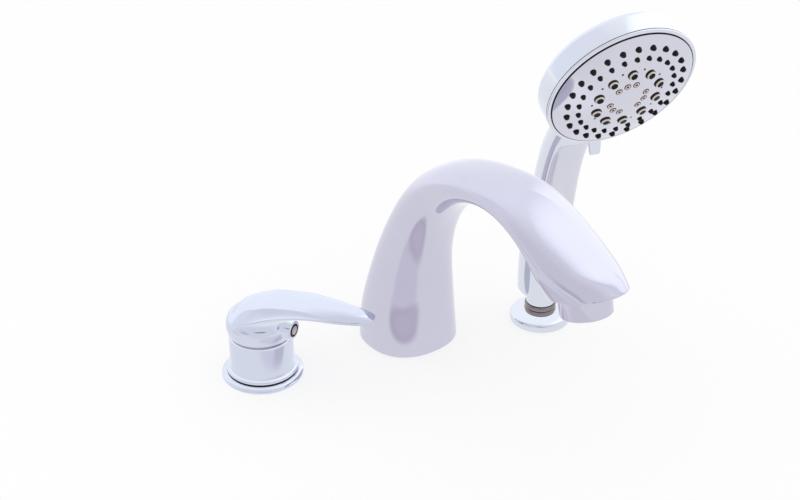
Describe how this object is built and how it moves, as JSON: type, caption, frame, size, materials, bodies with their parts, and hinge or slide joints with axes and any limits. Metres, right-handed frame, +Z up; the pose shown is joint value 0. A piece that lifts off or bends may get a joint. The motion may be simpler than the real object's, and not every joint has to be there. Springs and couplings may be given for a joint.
{
  "type": "bath mixer",
  "caption": "Deck-standing bath mixer set: single-lever valve, swan-neck spout with aerator, and a pull-out hand shower with turning spray face in its holder.",
  "frame": {"origin": "centre of the spout's foot on the top face of the bath's rim", "axes": "+Z up, +Y towards the wall behind the rim, -Z into the rim and through it"},
  "size_m": [0.3069, 0.2127, 0.3291],
  "materials": {
    "chrome": "polished",
    "steel": "brushed",
    "brass": "machined",
    "rubber": "matt",
    "plastic_white": "matt",
    "plastic_grey": "matt",
    "ceramic": "honed",
    "dark": "satin",
    "cap": "gloss",
    "face": "gloss",
    "satin": "satin",
    "silicone": "matt"
  },
  "bodies": {
    "deck_set": {"mixer_flange": "chrome", "mixer_deck_seal": "rubber", "mixer_body": "chrome", "mixer_shank": "brass", "mixer_rubber_washer": "rubber", "mixer_steel_washer": "steel", "mixer_backnut": "brass", "cartridge_base": "plastic_white", "cartridge_port_seals": "rubber", "fixed_ceramic_disc": "ceramic", "cartridge_housing": "plastic_white", "cartridge_nut": "brass", "dome_ring": "chrome", "spout_body": "chrome", "spout_deck_seal": "rubber", "spout_shank": "brass", "spout_rubber_washer": "rubber", "spout_steel_washer": "steel", "spout_backnut": "brass", "aerator_housing": "chrome", "aerator_insert": "plastic_grey", "aerator_seal": "rubber", "holder_flange": "chrome", "holder_deck_seal": "rubber", "holder_shank": "brass", "holder_rubber_washer": "rubber", "holder_steel_washer": "steel", "holder_backnut": "brass", "holder_neck": "chrome", "holder_liner": "plastic_white"},
    "lever_guide": {"cartridge_guide": "plastic_white", "spindle_pin": "steel"},
    "lever": {"spindle": "brass", "lever_handle": "chrome", "lever_grub_screw": "steel", "index_cap": "cap"},
    "mixing_disc": {"moving_ceramic_disc": "ceramic", "disc_carrier": "plastic_white"},
    "hose_end": {"hose_connector": "chrome", "hose_washer": "rubber"},
    "handset": {"handset_shell": "chrome", "handle_panel": "satin", "waterway_tube": "plastic_white", "water_core": "plastic_grey"},
    "spray_face": {"distributor_plate": "plastic_white", "diverter_disc": "plastic_grey", "detent_ball": "steel", "face_screw": "steel", "selector_ring": "chrome", "face_plate": "face", "nozzle_mat": "silicone", "massage_nozzles": "dark", "mist_inserts": "dark"}
  },
  "joints": [
    {"name": "lever_turn", "type": "hinge", "parent": "deck_set", "child": "lever_guide", "pos_m": [-0.1013, -0.049, 0.025], "axis": [0, 0, 1], "range_deg": [-60, 40]},
    {"name": "lever_lift", "type": "hinge", "parent": "lever_guide", "child": "lever", "pos_m": [-0.1013, -0.049, 0.025], "axis": [-0.2588, -0.9659, 0], "range_deg": [0, 25]},
    {"name": "disc_shift", "type": "slide", "parent": "lever_guide", "child": "mixing_disc", "axis": [0.9659, -0.2588, 0], "range_m": [0, 0.002]},
    {"name": "shower_lift", "type": "slide", "parent": "deck_set", "child": "hose_end", "axis": [0, 0, 1], "range_m": [0, 0.06]},
    {"name": "shower_turn", "type": "hinge", "parent": "hose_end", "child": "handset", "pos_m": [0.0967, 0.0189, 0.036], "axis": [0, 0, 1], "range_deg": [-43, 92]},
    {"name": "spray_select", "type": "hinge", "parent": "handset", "child": "spray_face", "pos_m": [0.13084, -0.06232, 0.2214], "axis": [0.3537, -0.8415, -0.4083], "range_deg": [0, 60]}
  ],
  "couplings": [
    {"joint": "disc_shift", "follows": "lever_lift", "m_per_rad": 0.0045}
  ]
}
